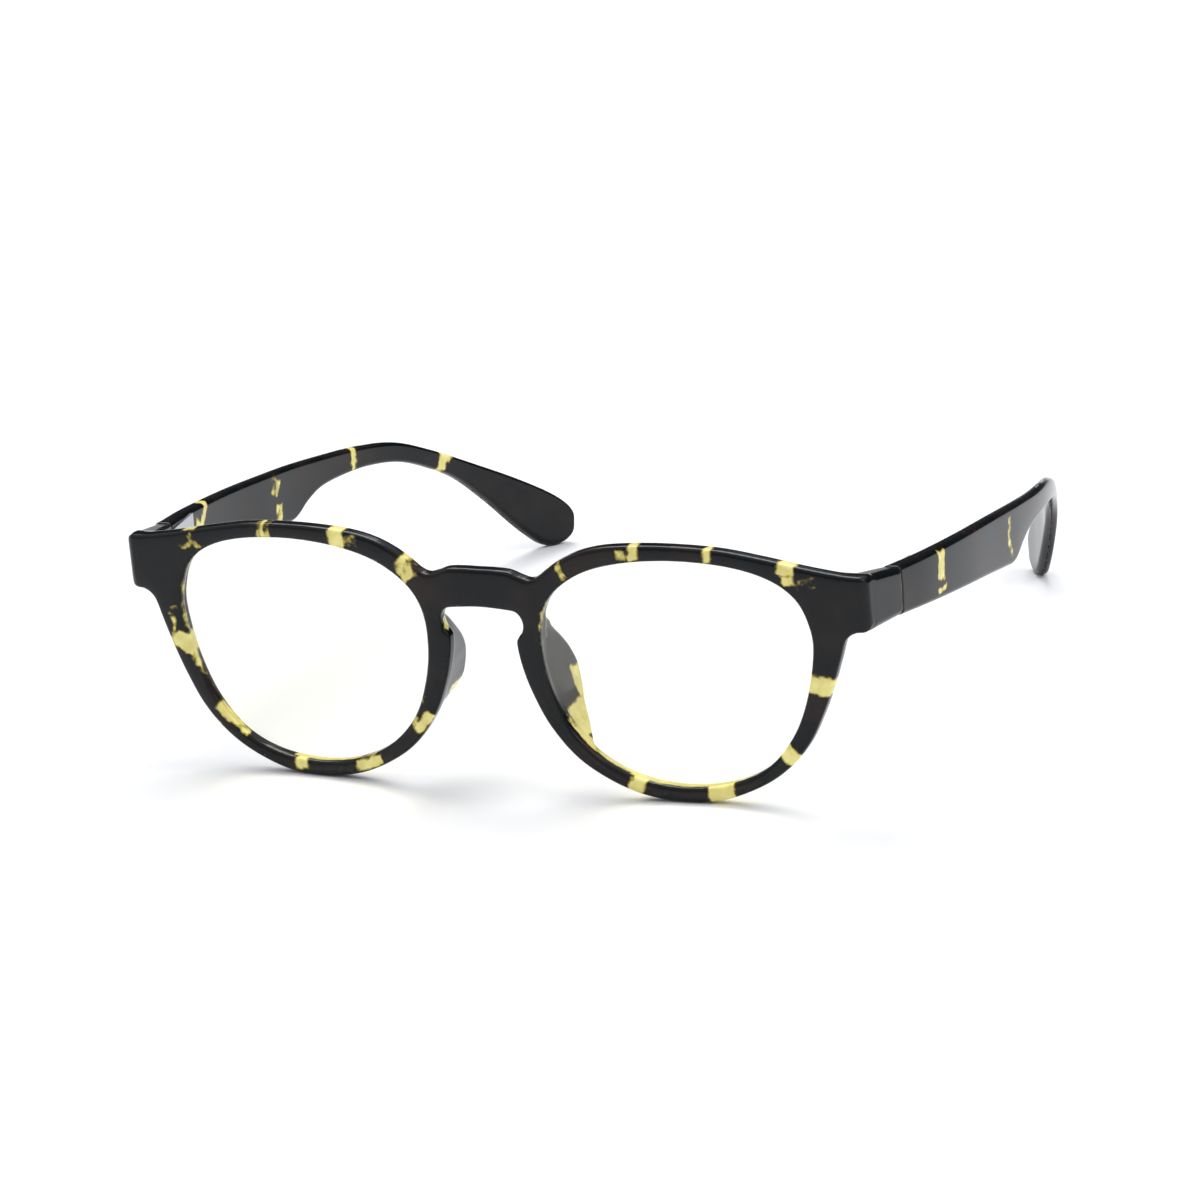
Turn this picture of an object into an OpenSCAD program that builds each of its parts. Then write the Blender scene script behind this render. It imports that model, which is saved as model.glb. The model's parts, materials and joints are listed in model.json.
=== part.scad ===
// Reading glasses: a moulded keyhole front with wrap-round end pieces, two glued-in
// lenses, and two drop temples on three-knuckle screw hinges.
// X runs across the face, Y runs back towards the ears and Z is up.  The glasses stand
// open on a table, on the bottoms of both rims and on both temple tips.

/* [Front] */
// Width over the outer corners of the front
front_w = 142.6; // [141:0.1:144]
// Thickness of the rims, front to back
front_t = 3.9; // [3.7:0.05:4.1]
// Radius of the front's curve round the face, seen from above
wrap_r = 476; // [440:1:520]
// How far the top of the front leans towards the viewer, in degrees
lean = 3.53; // [3.3:0.01:3.8]

/* [Lenses] */
// Radius of the lens's front surface
lens_front_r = 180; // [160:1:210]
// Radius of the lens's hollow back surface
lens_back_r = 286; // [260:1:320]
// Thickness of the lens at its middle
lens_t = 2.0; // [1.8:0.05:2.1]
// How deep the lens sits in the rim's groove
groove_depth = 0.8; // [0.6:0.05:0.9]
// Gap left all round the lens's edge in its groove
lens_gap = 0.1; // [0.05:0.01:0.12]

/* [Temples] */
// Thickness of a temple at its hinge
temple_t = 3.6; // [3.5:0.05:3.7]
// Thickness of a temple at its tip
tip_t = 2.4; // [2.3:0.05:2.6]
// Gap left between the end piece and the temple when open
joint_gap = 0.12; // [0.1:0.01:0.2]
// Depth at which the end pieces stop and the temples start
seam_y = 16.5; // [16.4:0.05:16.7]

/* [Hinges] */
// Distance of each hinge pin inside the front's outer corner
pin_inset = 2.8; // [2.7:0.05:2.9]
// Height of the middle of each hinge
hinge_z = 36.9; // [36.6:0.05:37.2]
// Radius of a hinge knuckle
knuckle_r = 1.25; // [1.2:0.01:1.3]
// Radius of the hinge screw's shank
pin_r = 0.7; // [0.68:0.01:0.72]
// Height of the three knuckles together
hinge_h = 6.6; // [6.4:0.1:6.8]

/* [Hidden] */
$fn = 64;

// Everything is drawn with the front's foot on Y = 0, then moved so that the middle of
// its depth, from the leaning brow to the temple tips, is at Y = 0.
front_edge_y = -2.62;
rear_edge_y = 147.07;
centre_y = (front_edge_y + rear_edge_y) / 2;
half_w = front_w / 2;
pin_x = half_w - pin_inset;

SHELL = [0.13, 0.12, 0.11];
CLEAR = [0.86, 0.90, 0.90, 0.35];
STEEL = [0.72, 0.73, 0.75];

// The lens aperture of the right eye, seen from the front: width across, height up.
APERTURE = [
    [61.5, 29.0], [61.1, 34.2], [59.0, 39.0], [54.5, 42.5], [47.5, 44.7], [38.0, 45.6],
    [28.5, 45.0], [20.5, 42.9], [14.6, 39.0], [11.7, 34.2], [11.1, 28.0], [12.2, 20.8],
    [15.2, 13.3], [20.6, 7.5], [27.8, 3.9], [36.0, 2.7], [44.5, 3.7], [51.5, 7.0],
    [56.5, 12.8], [59.7, 20.2]
];
LENS_MIDDLE = [36.3, 24.2];

// The outer edge of the front's right half, from the middle of the bridge over the rim
// to the end piece, then down, round the rim's foot and up the nose side.
BROW = [
    [0, 42.5], [3.0, 42.5], [5.8, 42.3], [8.0, 41.5], [9.8, 41.0], [11.4, 41.5],
    [13.2, 42.9], [16.2, 45.0], [20.5, 46.9], [26.0, 48.0], [35.0, 48.4], [45.0, 47.9],
    [53.0, 46.5], [60.0, 44.9], [66.0, 43.7], [69.5, 43.2]
];
UNDER_END_PIECE = [
    [69.5, 32.7], [68.6, 32.3], [67.7, 31.5], [67.1, 30.3], [66.2, 27.4], [64.4, 22.2],
    [62.2, 16.9], [59.4, 11.6], [55.4, 7.0], [50.2, 3.4], [43.0, 0.6], [35.8, -0.08],
    [28.6, 0.9], [22.0, 3.5], [16.0, 7.6], [11.4, 13.4], [8.6, 19.4], [7.1, 24.4],
    [6.5, 28.6]
];
KEYHOLE = [
    [6.5, 28.6], [6.9, 29.9], [7.7, 31.0], [8.0, 32.4], [7.6, 33.8], [6.7, 34.7],
    [5.0, 35.0], [2.5, 35.2], [0, 35.3]
];

// The end piece seen from above: from the rim round its outer corner and along the
// arm, then back along the inner side to the rim.
END_PIECE_PLAN = [
    [63.0, 4.3], [half_w - 3.8, 5.1], [half_w - 1.5, 5.6], [half_w - 0.4, 6.3],
    [half_w + 0.1, 7.4], [half_w + 2.6, 21.5], [half_w - 1.1, 21.5],
    [half_w - 2.8, 12.5], [half_w - 3.9, 10.2], [65.4, 8.9], [63.0, 8.0]
];
// The end piece seen from the side: depth from the front, height.
END_PIECE_SIDE = [[3, 43.6], [7, 43.0], [20, 40.0], [20, 31.2], [6, 32.8], [3, 32.8]];

// A temple seen from the side, over the top from the hinge to the tip, then back.
TEMPLE_TOP = [
    [16.5, 41.5], [30, 40.4], [50, 38.6], [70, 36.5], [85, 34.6], [97, 33.0],
    [107, 30.9], [116, 27.0], [125, 22.2], [134, 16.9], [141.5, 11.8], [145.4, 8.2]
];
TEMPLE_TIP = [[145.4, 8.2], [146.9, 5.3], [146.6, 2.4], [145.0, 0.6], [142.7, 0]];
TEMPLE_FOOT = [
    [142.7, 0], [140.5, 0.8], [138.2, 2.8], [135.2, 6.0], [129.5, 12.6], [123.0, 18.8],
    [116.0, 23.1], [108.0, 26.6], [99.0, 28.4], [90.0, 29.0], [82.0, 28.9],
    [76.5, 27.6], [73.0, 26.1], [70.2, 25.6], [66.0, 26.2], [50.0, 28.5],
    [30.0, 31.0], [16.5, 32.5]
];
// The outer face of the right temple, seen from above: distance outside the front's
// outer corner, and depth.
TEMPLE_PLAN = [
    [2.1, 16.5], [3.3, 29], [3.8, 45], [3.45, 60], [2.85, 75], [1.3, 90],
    [-1.3, 103], [-5.0, 115], [-9.8, 127.5], [-16.0, 139], [-23.3, 151]
];

// The nose pad's spine: across, depth and height of the five points it is blended over.
PAD = [
    [8.9, 4.0, 31.8], [8.5, 4.0, 24.0], [12.2, 4.0, 13.6],
    [10.9, 11.6, 25.6], [11.9, 13.4, 19.4], [13.2, 11.4, 14.9]
];
pad_round = 1.1;

// Hinge parts
knuckle_gap = 0.05;
middle_h = 2.4;
leaf_t = 0.9;
leaf_in = 0.95;
leaf_out = leaf_in + leaf_t;
front_leaf_l = 8.0;
temple_leaf_l = 11.0;
temple_leaf_start = 0.35;
arm_turn = -9.6;
temple_turn = -6.8;
fit_gap = 0.02;
running_gap = 0.03;
turning_gap = 0.1;
screw_head_r = 1.0;
screw_head_h = 0.8;
leaf_screw_r = 0.5;
leaf_screw_head_r = 1.0;
leaf_screw_head_h = 0.5;
leaf_screw_l = 2.3;
slot_w = 0.3;
slot_depth = 0.4;
leaf_slot_depth = 0.25;
front_screw_at = [3.1, 6.3];
temple_screw_at = [4.0, 8.6];

// Sizes of the cutting shapes: taller than the front, and past an edge.
tall = 60;
past = 5;
slab_depth = 20;

// One point of a curve that runs through b and c, with a and d as its neighbours.
function through(a, b, c, d, t) =
    0.5 * (2 * b + (c - a) * t + (2 * a - 5 * b + 4 * c - d) * t * t
        + (3 * b - a - 3 * c + d) * t * t * t);

// A smooth open curve through the points, its last point left to the next curve.
function open_curve(p, steps = 5) = [
    for (i = [0 : len(p) - 2], k = [0 : steps - 1])
        through(
            i == 0 ? 2 * p[0] - p[1] : p[i - 1], p[i], p[i + 1],
            i == len(p) - 2 ? 2 * p[i + 1] - p[i] : p[i + 2], k / steps)
];

// A smooth closed curve through the points.
function closed_curve(p, steps = 5) =
    let (n = len(p)) [
        for (i = [0 : n - 1], k = [0 : steps - 1])
            through(p[(i + n - 1) % n], p[i], p[(i + 1) % n], p[(i + 2) % n], k / steps)
    ];

// Unit normal of an open curve at point i, to its left.
function normal_at(p, i) =
    let (a = p[max(i - 1, 0)], b = p[min(i + 1, len(p) - 1)], d = b - a)
        [-d[1], d[0]] / norm(d);

// The curve moved sideways, by `from` at its start and soon by little more than `to`.
function beside(p, from, to) = [
    for (i = [0 : len(p) - 1])
        p[i] + normal_at(p, i) * (to + (from - to) * pow(1 - i / (len(p) - 1), 3))
];

// A closed curve that runs anticlockwise, moved outwards by `by`.
function grown(p, by) =
    let (n = len(p)) [
        for (i = [0 : n - 1])
            let (d = p[(i + 1) % n] - p[(i + n - 1) % n])
                p[i] + [d[1], -d[0]] / norm(d) * by
    ];

// How far a round surface of radius `big` has fallen back at distance r from its middle.
function sag(r, big) = big - sqrt(big * big - r * r);

function reversed(p) = [for (i = [len(p) - 1 : -1 : 0]) p[i]];

// Puts a shape drawn for the standing front, whose foot is on Y = 0, in the row's frame.
module placed() {
    translate([0, -centre_y, 0]) children();
}

// Leans the front's own shapes, drawn as across, depth and height.
module leaned() {
    rotate([lean, 0, 0]) children();
}

// A flat shape drawn as across and height, made solid through the whole front.
module from_front() {
    translate([0, -past, 0]) rotate([90, 0, 0]) mirror([0, 0, 1])
        linear_extrude(slab_depth + 2 * past) children();
}

// A flat shape drawn as depth and height, made solid across from `start`.
module from_side(start) {
    translate([start, 0, 0]) rotate([90, 0, 90]) linear_extrude(half_w) children();
}

// The right half, and the left half as its reflection.
module on_both_sides() {
    children();
    mirror([1, 0, 0]) children();
}

module on_side(side) {
    if (side == "right") children();
    else mirror([1, 0, 0]) children();
}

module half_outline() {
    polygon(concat(
        open_curve(BROW), open_curve(UNDER_END_PIECE), open_curve(KEYHOLE), [[0, 35.3]]
    ));
}

// The curved slab that the rims are cut from.
module wrapped_slab() {
    translate([0, wrap_r, -past]) difference() {
        cylinder(h = tall, r = wrap_r, $fn = 720);
        translate([0, 0, -past]) cylinder(h = tall + 2 * past, r = wrap_r - front_t, $fn = 720);
        translate([-wrap_r - past, slab_depth - wrap_r, -past])
            cube([2 * (wrap_r + past), 2 * wrap_r, tall + 2 * past]);
    }
}

// The arm that carries the end piece back to the hinge.
module end_piece() {
    intersection() {
        linear_extrude(tall) polygon(END_PIECE_PLAN);
        from_side(END_PIECE_PLAN[0][0] - past) polygon(END_PIECE_SIDE);
    }
}

module nose_pad() {
    hull() {
        for (p = PAD) translate(p) sphere(r = pad_round, $fn = 20);
    }
}

// The lens blank between its two round surfaces, its rim moved out by `edge` and its
// surfaces moved apart by `slack`.
module lens_blank(edge, slack) {
    turn = asin(LENS_MIDDLE[0] / wrap_r);
    blank_r = 33;
    step = 3;
    intersection() {
        from_front() polygon(grown(closed_curve(APERTURE), edge));
        translate([LENS_MIDDLE[0], sag(LENS_MIDDLE[0], wrap_r), LENS_MIDDLE[1]])
            rotate([-90, 0, turn]) rotate_extrude($fn = 180) polygon(concat(
                [for (r = [0 : step : blank_r]) [r, sag(r, lens_front_r) - slack]],
                [for (r = [blank_r : -step : 0]) [r, lens_t + sag(r, lens_back_r) + slack]]
            ));
    }
}

// One rim with its half of the bridge: the outline cut from the slab, less the aperture
// and the groove that holds the lens.
module rim() {
    difference() {
        intersection() {
            from_front() half_outline();
            wrapped_slab();
        }
        from_front() polygon(closed_curve(APERTURE));
        lens_blank(groove_depth + lens_gap, lens_gap);
    }
}

module front_body() {
    leaned() on_both_sides() {
        rim();
        end_piece();
        nose_pad();
    }
}

// Puts a hinge part, drawn with its pin on the Z axis, on the right hinge.
module at_hinge(turn) {
    translate([pin_x, seam_y, hinge_z]) rotate([0, 0, turn]) children();
}

// A leaf: its plate beside the pin and the knuckles that it carries, each given as its
// foot and its height.  `way` is -1 for the front's leaf and 1 for the temple's.
module leaf(way, length, knuckles, bore_r, screw_at) {
    start = way > 0 ? temple_leaf_start : joint_gap;
    difference() {
        union() {
            translate([leaf_in, way > 0 ? start : -length, -hinge_h / 2])
                cube([leaf_t, length - start, hinge_h]);
            for (k = knuckles) translate([0, 0, k[0]]) {
                cylinder(h = k[1], r = knuckle_r);
                translate([0, way > 0 ? start : -knuckle_r, 0])
                    cube([leaf_out, knuckle_r - start, k[1]]);
            }
        }
        cylinder(h = tall, r = bore_r, center = true);
        for (y = screw_at) translate([leaf_in, way * y, 0]) rotate([0, 90, 0])
            leaf_screw_body(fit_gap);
    }
}

// A leaf screw's outside, its axis along Z and the top of its head at Z = 0.
module leaf_screw_body(slack) {
    cylinder(h = leaf_screw_head_h, r1 = leaf_screw_head_r + slack, r2 = leaf_screw_r + slack);
    cylinder(h = leaf_screw_l + slack, r = leaf_screw_r + slack);
}

// Knuckle-shaped room for the other leaf's knuckle between the heights `foot` and `top`.
module knuckle_room(foot, top) {
    translate([0, 0, foot]) cylinder(h = top - foot, r = knuckle_r + turning_gap);
}

module front_leaf() {
    end_h = (hinge_h - middle_h) / 2 - knuckle_gap;
    difference() {
        leaf(-1, front_leaf_l, [[-hinge_h / 2, end_h], [hinge_h / 2 - end_h, end_h]],
            pin_r + fit_gap / 2, front_screw_at);
        translate([0, 0, hinge_h / 2 - screw_head_h])
            cylinder(h = 2 * screw_head_h, r = screw_head_r + fit_gap);
        knuckle_room(-middle_h / 2 - knuckle_gap, middle_h / 2 + knuckle_gap);
    }
}

module temple_leaf() {
    difference() {
        leaf(1, temple_leaf_l, [[-middle_h / 2, middle_h]], pin_r + running_gap, temple_screw_at);
        knuckle_room(middle_h / 2 + knuckle_gap, hinge_h);
        knuckle_room(-hinge_h, -middle_h / 2 - knuckle_gap);
    }
}

// Room in the plastic for a leaf, its knuckles and its screws.
module leaf_pocket(way, length, screw_at) {
    pocket_h = hinge_h + 2 * fit_gap;
    translate([-past, way > 0 ? -joint_gap : -length - fit_gap, -pocket_h / 2])
        cube([past + leaf_out + fit_gap, length + joint_gap + fit_gap, pocket_h]);
    cylinder(h = pocket_h, r = knuckle_r + turning_gap, center = true);
    for (y = screw_at) translate([leaf_in, way * y, 0]) rotate([0, 90, 0])
        cylinder(h = leaf_screw_l + 2 * fit_gap, r = leaf_screw_r + fit_gap);
}

module front_frame() {
    color(SHELL) placed() difference() {
        front_body();
        translate([-front_w, seam_y, -past]) cube([2 * front_w, slab_depth, tall + past]);
        on_both_sides() at_hinge(arm_turn) leaf_pocket(-1, front_leaf_l, front_screw_at);
    }
}

module lens(side) {
    color(CLEAR) placed() on_side(side) leaned() lens_blank(groove_depth, 0);
}

module temple(side) {
    outer = [for (p = open_curve(TEMPLE_PLAN)) p + [half_w, 0]];
    inner = beside(outer, temple_t, tip_t);
    color(SHELL) placed() on_side(side) difference() {
        intersection() {
            translate([0, 0, -past]) linear_extrude(tall) polygon(concat(outer, reversed(inner)));
            from_side(half_w / 2) polygon(concat(
                open_curve(TEMPLE_TOP), open_curve(TEMPLE_TIP), open_curve(TEMPLE_FOOT),
                [TEMPLE_FOOT[len(TEMPLE_FOOT) - 1]]
            ));
        }
        translate([0, seam_y - slab_depth + joint_gap, -past]) cube([front_w, slab_depth, tall]);
        at_hinge(temple_turn) leaf_pocket(1, temple_leaf_l, temple_screw_at);
    }
}

module front_leaf_part(side) {
    color(STEEL) placed() on_side(side) at_hinge(arm_turn) front_leaf();
}

module temple_leaf_part(side) {
    color(STEEL) placed() on_side(side) at_hinge(temple_turn) temple_leaf();
}

module hinge_screw(side) {
    color(STEEL) placed() on_side(side) translate([pin_x, seam_y, hinge_z]) difference() {
        union() {
            translate([0, 0, -hinge_h / 2]) cylinder(h = hinge_h - screw_head_h / 2, r = pin_r);
            translate([0, 0, hinge_h / 2 - screw_head_h]) cylinder(h = screw_head_h, r = screw_head_r);
        }
        translate([-past, -slot_w / 2, hinge_h / 2 - slot_depth]) cube([2 * past, slot_w, past]);
    }
}

module leaf_screws(way, screw_at) {
    for (y = screw_at) translate([leaf_in, way * y, 0]) rotate([0, 90, 0]) difference() {
        leaf_screw_body(0);
        translate([-past, -slot_w / 2, leaf_slot_depth - past]) cube([2 * past, slot_w, past]);
    }
}

module front_leaf_screws(side) {
    color(STEEL) placed() on_side(side) at_hinge(arm_turn) leaf_screws(-1, front_screw_at);
}

module temple_leaf_screws(side) {
    color(STEEL) placed() on_side(side) at_hinge(temple_turn) leaf_screws(1, temple_screw_at);
}

front_frame();
lens("right");  // lens_right
lens("left");  // lens_left
temple("right");  // temple_right
temple("left");  // temple_left
front_leaf_part("right");  // front_leaf_right
front_leaf_part("left");  // front_leaf_left
temple_leaf_part("right");  // temple_leaf_right
temple_leaf_part("left");  // temple_leaf_left
hinge_screw("right");  // hinge_screw_right
hinge_screw("left");  // hinge_screw_left
front_leaf_screws("right");  // front_leaf_screws_right
front_leaf_screws("left");  // front_leaf_screws_left
temple_leaf_screws("right");  // temple_leaf_screws_right
temple_leaf_screws("left");  // temple_leaf_screws_left
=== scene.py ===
"""Reading glasses with a keyhole bridge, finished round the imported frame.

The glasses stand open on a pale studio floor: a tortoise-patterned front with moulded
nose pads, two clear lenses, two drop temples and two screw hinges.  X runs across the
face, Y runs back towards the ears, Z is up, and the frame is in metres.  The drawings of
the plastic parts are in millimetres, as a frame maker's are.
"""

from __future__ import annotations

import json
import logging
import math
from dataclasses import dataclass, field
from enum import Enum
from typing import Callable

import bpy
import numpy as np
from mathutils import Matrix, Vector

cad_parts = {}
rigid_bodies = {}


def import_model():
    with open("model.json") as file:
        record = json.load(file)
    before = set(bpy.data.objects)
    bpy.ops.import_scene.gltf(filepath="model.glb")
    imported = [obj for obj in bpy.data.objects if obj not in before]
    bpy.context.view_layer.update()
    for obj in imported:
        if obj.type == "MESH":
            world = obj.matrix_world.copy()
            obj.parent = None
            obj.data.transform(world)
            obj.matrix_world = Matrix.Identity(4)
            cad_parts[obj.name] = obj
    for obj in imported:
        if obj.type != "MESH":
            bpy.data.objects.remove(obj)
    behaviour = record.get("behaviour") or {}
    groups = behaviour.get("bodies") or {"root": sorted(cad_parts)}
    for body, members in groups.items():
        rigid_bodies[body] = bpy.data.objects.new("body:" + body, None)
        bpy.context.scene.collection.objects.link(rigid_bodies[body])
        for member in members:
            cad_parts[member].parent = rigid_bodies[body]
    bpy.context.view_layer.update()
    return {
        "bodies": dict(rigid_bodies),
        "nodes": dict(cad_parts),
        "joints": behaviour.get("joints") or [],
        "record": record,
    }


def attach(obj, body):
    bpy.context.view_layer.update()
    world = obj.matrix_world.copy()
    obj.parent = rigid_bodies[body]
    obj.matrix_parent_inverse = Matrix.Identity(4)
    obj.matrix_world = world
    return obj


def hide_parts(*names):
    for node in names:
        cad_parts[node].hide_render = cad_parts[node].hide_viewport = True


log = logging.getLogger("reading_glasses")

MM = 0.001
PATCH_ATTRIBUTE = "clear_field"

Field = Callable[[np.ndarray], np.ndarray]
Colour = tuple[float, float, float]
Flat = tuple[float, float]


class Side(Enum):
    """The wearer's two sides as seen from the front, with the sign of X on each."""

    RIGHT = 1
    LEFT = -1

    @property
    def label(self) -> str:
        """The side's name as the frame's nodes spell it."""
        return self.name.lower()

    @property
    def body(self) -> str:
        """The CAD body of this side's temple."""
        return f"{self.label}_temple"


# --------------------------------------------------------------------------- curves


def smooth_curve(points: list[tuple[float, ...]], steps: int, closed: bool = False) -> np.ndarray:
    """Runs a smooth curve through given points.

    Between two points b and c, with a and d as their outer neighbours, the curve is
    (2b + (c - a)t + (2a - 5b + 4c - d)t^2 + (3b - a - 3c + d)t^3) / 2 for t from 0 to 1.

    Args:
        points: The points that the curve passes through, in order.
        steps: How many points are made for each stretch between two given points.
        closed: Whether the curve returns to its first point.

    Returns:
        The curve's points, one per row.  An open curve includes both its ends.
    """
    p = np.array(points, float)
    if closed:
        a, b, c, d = (np.roll(p, shift, axis=0) for shift in (1, 0, -1, -2))
    else:
        ends = np.vstack([2 * p[0] - p[1], p, 2 * p[-1] - p[-2]])
        a, b, c, d = ends[:-3], ends[1:-2], ends[2:-1], ends[3:]
    a, b, c, d = (side[:, None, :] for side in (a, b, c, d))
    t = (np.arange(steps) / steps)[None, :, None]
    curve = 0.5 * (2 * b + (c - a) * t + (2 * a - 5 * b + 4 * c - d) * t**2 + (3 * b - a - 3 * c + d) * t**3)
    curve = curve.reshape(-1, p.shape[1])
    return curve if closed else np.vstack([curve, p[-1]])


def evenly_spaced(curve: np.ndarray, shares: np.ndarray) -> np.ndarray:
    """Points of a curve at given shares of its length.

    The length up to each point is the sum of the straight steps before it, and each
    coordinate is interpolated along that length.

    Args:
        curve: The curve's points, one per row.
        shares: Shares of the whole length, from 0 to 1.

    Returns:
        One point per share.
    """
    lengths = np.concatenate([[0.0], np.cumsum(np.linalg.norm(np.diff(curve, axis=0), axis=1))])
    return np.stack([np.interp(shares * lengths[-1], lengths, axis) for axis in curve.T], axis=1)


def flat_distance(points: np.ndarray, outline: np.ndarray) -> np.ndarray:
    """Signed distance from flat points to a closed outline, negative inside it.

    The distance is the least of the distances to the outline's edges, and its sign
    changes with each edge that a ray towards +X from the point crosses.

    Args:
        points: The points, one per row.
        outline: The outline's corners, one per row, in either direction.

    Returns:
        One distance per point, in the outline's unit.
    """
    nearest = np.full(len(points), np.inf)
    inside = np.zeros(len(points), bool)
    for start, end in zip(outline, np.roll(outline, -1, axis=0)):
        edge = end - start
        off = points - start
        along = np.clip((off @ edge) / max(edge @ edge, 1e-12), 0.0, 1.0)
        gap = off - along[:, None] * edge
        np.minimum(nearest, np.einsum("ij,ij->i", gap, gap), out=nearest)
        spans = (start[1] > points[:, 1]) != (end[1] > points[:, 1])
        if start[1] != end[1]:
            crossing = start[0] + (points[:, 1] - start[1]) * edge[0] / edge[1]
            inside ^= spans & (points[:, 0] < crossing)
    return np.where(inside, -1.0, 1.0) * np.sqrt(nearest)


class OutlineMap:
    """Signed distances to a closed outline, kept on a fine square grid."""

    def __init__(self, outline: np.ndarray, low: Flat, high: Flat, step: float) -> None:
        """Measures the grid.

        Args:
            outline: The closed outline's corners.
            low: The grid's lowest corner.
            high: The grid's highest corner.
            step: The grid's spacing.
        """
        self.low, self.step = np.array(low), step
        u = np.arange(low[0], high[0] + step, step)
        v = np.arange(low[1], high[1] + step, step)
        grid = np.stack(np.meshgrid(u, v, indexing="ij"), axis=-1)
        self.values = flat_distance(grid.reshape(-1, 2), outline).reshape(len(u), len(v))

    def __call__(self, u: np.ndarray, v: np.ndarray) -> np.ndarray:
        """The distance at each point, as the weighted mean of the four grid values round it.

        Args:
            u: First coordinates.
            v: Second coordinates.

        Returns:
            One distance per point.
        """
        place = (np.stack([u, v]) - self.low[:, None]) / self.step
        limit = np.array(self.values.shape)[:, None] - 1.001
        place = np.clip(place, 0.0, limit)
        cell = place.astype(int)
        i, j = cell
        a, b = place - cell
        grid = self.values
        return (grid[i, j] * (1 - a) + grid[i + 1, j] * a) * (1 - b) + (
            grid[i, j + 1] * (1 - a) + grid[i + 1, j + 1] * a
        ) * b


# --------------------------------------------------------------------------- solids


def rounded_both(a: np.ndarray, b: np.ndarray, radius: np.ndarray | float) -> np.ndarray:
    """Distance to what lies inside both shapes, with the edge between them rounded.

    It is the larger distance, and near the edge the distance to a circle of the radius
    that touches both faces.

    Args:
        a: Signed distances to the first shape.
        b: Signed distances to the second shape.
        radius: The edge's radius.

    Returns:
        One signed distance per point.
    """
    corner = np.hypot(np.maximum(a + radius, 0.0), np.maximum(b + radius, 0.0))
    return np.minimum(np.maximum(a, b), -radius) + corner


def blended_either(a: np.ndarray, b: np.ndarray, reach: np.ndarray | float) -> np.ndarray:
    """Distance to what lies inside either shape, filleted where they meet.

    It is the smaller distance, and where the two differ by less than the reach it is
    lowered by a parabola, up to a quarter of the reach.

    Args:
        a: Signed distances to the first shape.
        b: Signed distances to the second shape.
        reach: The greatest difference that the fillet covers.

    Returns:
        One signed distance per point.
    """
    share = np.clip(0.5 + 0.5 * (b - a) / reach, 0.0, 1.0)
    return b + (a - b) * share - reach * share * (1 - share)


def skin(distance: Field, low: np.ndarray, high: np.ndarray, cell: float) -> tuple[np.ndarray, np.ndarray]:
    """The closed surface where a signed distance is zero, as a mesh of four-sided faces.

    The front's rims, end pieces and pads flow into one another with no single grid
    that could run over them all, so its surface is taken from a distance in space.
    Space is cut into cubes.  A cube that the surface passes through gets one point, the
    mean of the crossings on its edges, and each cube edge that is crossed gets the face
    between its four cubes.  Two Newton steps then put every point on the surface.

    Args:
        distance: Signed distance for rows of points, negative inside, the same for X
            and for -X.
        low: Lowest corner of the space, with X below zero.
        high: Highest corner.
        cell: Side of a cube.

    Returns:
        The points and the faces, which run anticlockwise seen from outside.
    """
    half = np.arange(0.0, high[0] + cell, cell)
    back, height = (np.arange(low[k], high[k] + cell, cell) for k in (1, 2))
    right = np.stack(np.meshgrid(half, back, height, indexing="ij"), axis=-1)
    values = distance(right.reshape(-1, 3)).reshape(right.shape[:3])
    values = np.concatenate([values[:0:-1], values])
    inside = values < 0
    corners = [(i, j, k) for i in (0, 1) for j in (0, 1) for k in (0, 1)]
    shape = np.array(values.shape) - 1
    wide, deep, tall = shape
    count = sum(inside[i : i + wide, j : j + deep, k : k + tall].astype(np.int8) for i, j, k in corners)
    cubes = np.argwhere((count > 0) & (count < 8))
    found = np.stack([values[tuple((cubes + corner).T)] for corner in corners], axis=1)
    total, crossed = np.zeros((len(cubes), 3)), np.zeros(len(cubes))
    for at_first, first in enumerate(corners):
        for at_last in range(at_first + 1, len(corners)):
            step = np.subtract(corners[at_last], first)
            if np.abs(step).sum() != 1:
                continue
            one, two = found[:, at_first], found[:, at_last]
            cut = (one < 0) != (two < 0)
            share = np.where(cut, one / np.where(cut, one - two, 1.0), 0.0)
            total += np.where(cut[:, None], np.array(first) + share[:, None] * step, 0.0)
            crossed += cut
    origin = np.array([-half[-1], back[0], height[0]])
    points = origin + (cubes + total / crossed[:, None]) * cell
    number = np.full(shape, -1)
    number[tuple(cubes.T)] = np.arange(len(cubes))
    faces = []
    for axis in range(3):
        one, two = (axis + 1) % 3, (axis + 2) % 3
        ahead = np.take(inside, range(1, inside.shape[axis]), axis)
        behind = np.take(inside, range(inside.shape[axis] - 1), axis)
        at = np.argwhere(ahead != behind)
        leaving = behind[tuple(at.T)]
        around = []
        for back_one, back_two in ((1, 1), (0, 1), (0, 0), (1, 0)):
            place = at.copy()
            place[:, one] -= back_one
            place[:, two] -= back_two
            around.append(number[tuple(place.T)])
        quad = np.stack(around, axis=1)
        quad[~leaving] = quad[~leaving, ::-1]
        faces.append(quad)
    for _ in range(2):
        here = distance(points)
        nudge = 0.05 * cell
        slope = np.stack([(distance(points + nudge * axis) - here) / nudge for axis in np.eye(3)], axis=1)
        steep = np.maximum(np.einsum("ij,ij->i", slope, slope), 0.25)
        points = points - np.clip(here / steep, -cell, cell)[:, None] * slope
    return points, np.concatenate(faces)


def grid_faces(rows: int, columns: int) -> np.ndarray:
    """Faces of a grid whose columns close into rings, row after row.

    Args:
        rows: How many rings there are.
        columns: How many points a ring has.

    Returns:
        The faces, four point numbers in each row.
    """
    row, column = np.meshgrid(np.arange(rows - 1), np.arange(columns), indexing="ij")
    here, beside = row * columns + column, row * columns + (column + 1) % columns
    return np.stack([here, beside, beside + columns, here + columns], axis=-1).reshape(-1, 4)


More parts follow.
